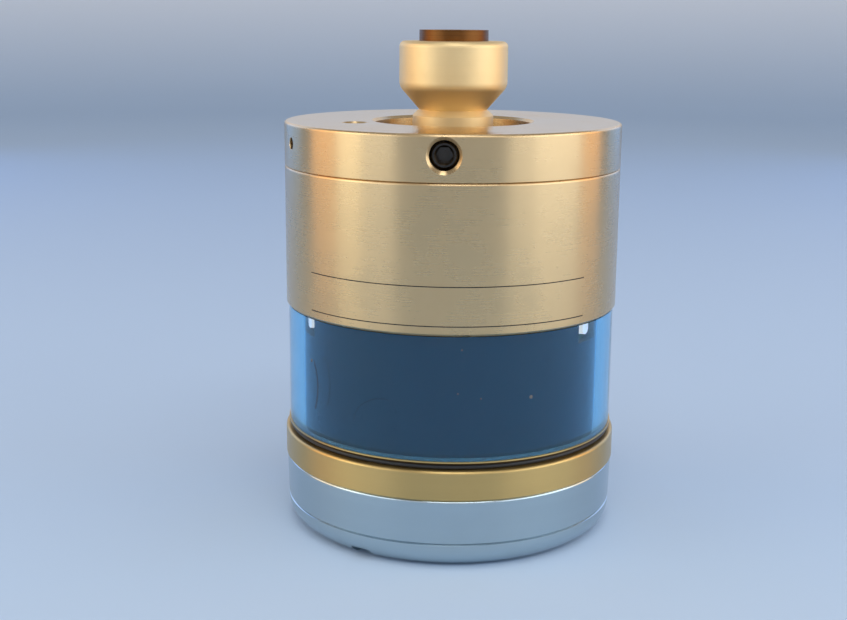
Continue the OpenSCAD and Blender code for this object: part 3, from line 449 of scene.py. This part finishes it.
def rubber_boot():
    """Rubber diaphragm in three zones, made as fixed pieces that ride on no body.
    Each zone is cut from the same ring at the heights where it meets the next."""
    radii = [BOOT_BEND_R + (BOOT_IN_R - BOOT_BEND_R) * i / BOOT_STEPS for i in range(BOOT_STEPS + 1)]
    upper = [(r, boot_height(r) + BOOT_T / 2) for r in radii]
    lower = [(r, boot_height(r) - BOOT_T / 2) for r in reversed(radii)]
    lip_top = BOOT_FLOOR + BOOT_FLANGE_T
    lip = [(BOOT_BEND_R, BOOT_FLOOR), (BOOT_OUT_R, BOOT_FLOOR), (BOOT_OUT_R, lip_top), (BOOT_BEND_R, lip_top)]
    for name, outer, inner, start, end in BOOT_ZONES:
        low = None if name == "boot_flange" else start
        high = None if name == "boot_bead" else end
        shape = turned(upper + lower + lip)
        for height, keep_above in ((low, True), (high, False)):
            if height is None:
                continue
            whole = list(shape.verts) + list(shape.edges) + list(shape.faces)
            cut = bmesh.ops.bisect_plane(shape, geom=whole, plane_co=(0, 0, height * MM), plane_no=(0, 0, 1),
                                         dist=1e-7, clear_inner=keep_above, clear_outer=not keep_above)
            rims = [e for e in cut["geom_cut"] if isinstance(e, bmesh.types.BMEdge)]
            bmesh.ops.bridge_loops(shape, edges=rims)
        piece = new_piece(name, shape, None, "black_rubber")
        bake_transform(piece)
        if name == "boot_flange":
            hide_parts("diaphragm")


set_up_camera()
rule_line("upper_rule", UPPER_RULE_Z, RULE_FROM, RULE_TO)
rule_line("lower_rule", LOWER_RULE_Z, RULE_FROM, RULE_TO)
dried_specks()
coil_spring()
rubber_boot()


# Stage and light: the wall is lifted in colour up to a height in metres, without lighting the probe
STAGE_COLOR = (0.54, 0.67, 0.84)
WALL_COLOR, WALL_LIFT, LIFT_HEIGHT = (1.0, 0.85, 0.67), 0.62, 0.35
# Floor radius, radius of the bend, wall radius and wall height in millimetres; the floor's drop in metres
FLOOR_R, BEND_R, WALL_R, WALL_TOP, FLOOR_DROP = 1100, 700, 1800, 1100, 0.00005
# Colours of the lights; place and height of the side lights and the height that all of them aim at, in metres
SOFT, WARM, COOL, RIM = (1.0, 0.96, 0.80), (1.0, 0.56, 0.18), (0.98, 1.0, 1.0), (0.14, 0.40, 1.0)
LAMP_DISTANCE, LAMP_HEIGHT, LAMP_TALL, LAMP_AIM = 0.70, 0.22, 0.60, 0.05
WORLD_COLOR, WORLD_STRENGTH = (0.92, 0.95, 1.0, 1), 0.45


def pale_stage():
    """Round pale floor that curves up into a wall."""
    f = Finish("pale_stage", STAGE_COLOR, 0.0, 0.7)
    cloud = f.noise(f.place, 3.0, 2.0)
    f.mottle(cloud, STAGE_COLOR, 0.99, 1.01)
    f.put("Emission Color", (*WALL_COLOR, 1))
    path = f.node("ShaderNodeLightPath")
    seen = f.math("MAXIMUM", path.outputs["Is Camera Ray"], path.outputs["Is Glossy Ray"])
    seen = f.math("MAXIMUM", seen, path.outputs["Is Transmission Ray"])
    _, _, height, _ = f.axes()
    wall = f.spread(height, 0.0, WALL_LIFT, 0.0, LIFT_HEIGHT)
    f.link(f.math("MULTIPLY", seen, wall), f.surface, "Emission Strength")
    angles = [math.radians(a) for a in range(0, 91, 10)]
    bend = [(FLOOR_R + BEND_R * math.sin(a), BEND_R - BEND_R * math.cos(a)) for a in angles]
    shape = bmesh.new()
    section = outline(shape, [(0, 0)] + bend + [(WALL_R, WALL_TOP)], closed=False)
    bmesh.ops.spin(shape, geom=section, cent=(0, 0, 0), axis=(0, 0, 1), angle=2 * math.pi, steps=96,
                   use_merge=True)
    bmesh.ops.translate(shape, verts=shape.verts, vec=(0, 0, -FLOOR_DROP))
    bmesh.ops.remove_doubles(shape, verts=shape.verts, dist=1e-6)
    bmesh.ops.recalc_face_normals(shape, faces=shape.faces)
    mesh = bpy.data.meshes.new("studio_floor")
    shape.to_mesh(mesh)
    shape.free()
    for face in mesh.polygons:
        face.use_smooth = True
    mesh.materials.append(f.material)
    floor = bpy.data.objects.new("studio_floor", mesh)
    bpy.context.scene.collection.objects.link(floor)


def soft_box(name, azimuth, distance, height, wide, tall, glow, color):
    """Soft light that looks at the probe; glow is its brightness as seen."""
    data = bpy.data.lights.new(name, "AREA")
    data.shape, data.size, data.size_y = "RECTANGLE", wide, tall
    data.energy = glow * math.pi * wide * tall
    data.color = color
    lamp = bpy.data.objects.new(name, data)
    lamp.visible_camera = False
    bpy.context.scene.collection.objects.link(lamp)
    a = math.radians(azimuth)
    spot = Vector((distance * math.sin(a), -distance * math.cos(a), height))
    lamp.location = spot
    lamp.rotation_mode = "QUATERNION"
    lamp.rotation_quaternion = (Vector((0, 0, LAMP_AIM)) - spot).to_track_quat("-Z", "Y")


def side_box(name, from_azimuth, to_azimuth, glow, color):
    """Upright soft light that fills the view from the probe between two azimuths."""
    wide = 2 * LAMP_DISTANCE * math.tan(math.radians(to_azimuth - from_azimuth) / 2)
    soft_box(name, (from_azimuth + to_azimuth) / 2, LAMP_DISTANCE, LAMP_HEIGHT, wide, LAMP_TALL, glow, color)


pale_stage()
side_box("left_rim", -150, -120, 0.85, RIM)
side_box("left_warm", -106, -81, 1.45, WARM)
side_box("left_box", -81, -60, 2.1, SOFT)
side_box("left_fill", -60, -36, 1.15, COOL)
side_box("right_fill", 36, 52, 1.15, COOL)
side_box("right_box", 52, 93, 1.85, COOL)
side_box("right_warm", 93, 114, 1.4, WARM)
side_box("right_rim", 124, 152, 0.85, RIM)
soft_box("front_box", azimuth=10, distance=0.50, height=0.60, wide=0.50, tall=0.16, glow=4.2, color=COOL)
soft_box("top_box", azimuth=0, distance=0.20, height=0.90, wide=0.30, tall=0.30, glow=3.0, color=COOL)

world = bpy.data.worlds.new("studio")
world.use_nodes = True
background = world.node_tree.nodes["Background"]
background.inputs["Color"].default_value = WORLD_COLOR
background.inputs["Strength"].default_value = WORLD_STRENGTH
bpy.context.scene.world = world
bpy.context.scene.view_settings.view_transform = "Standard"
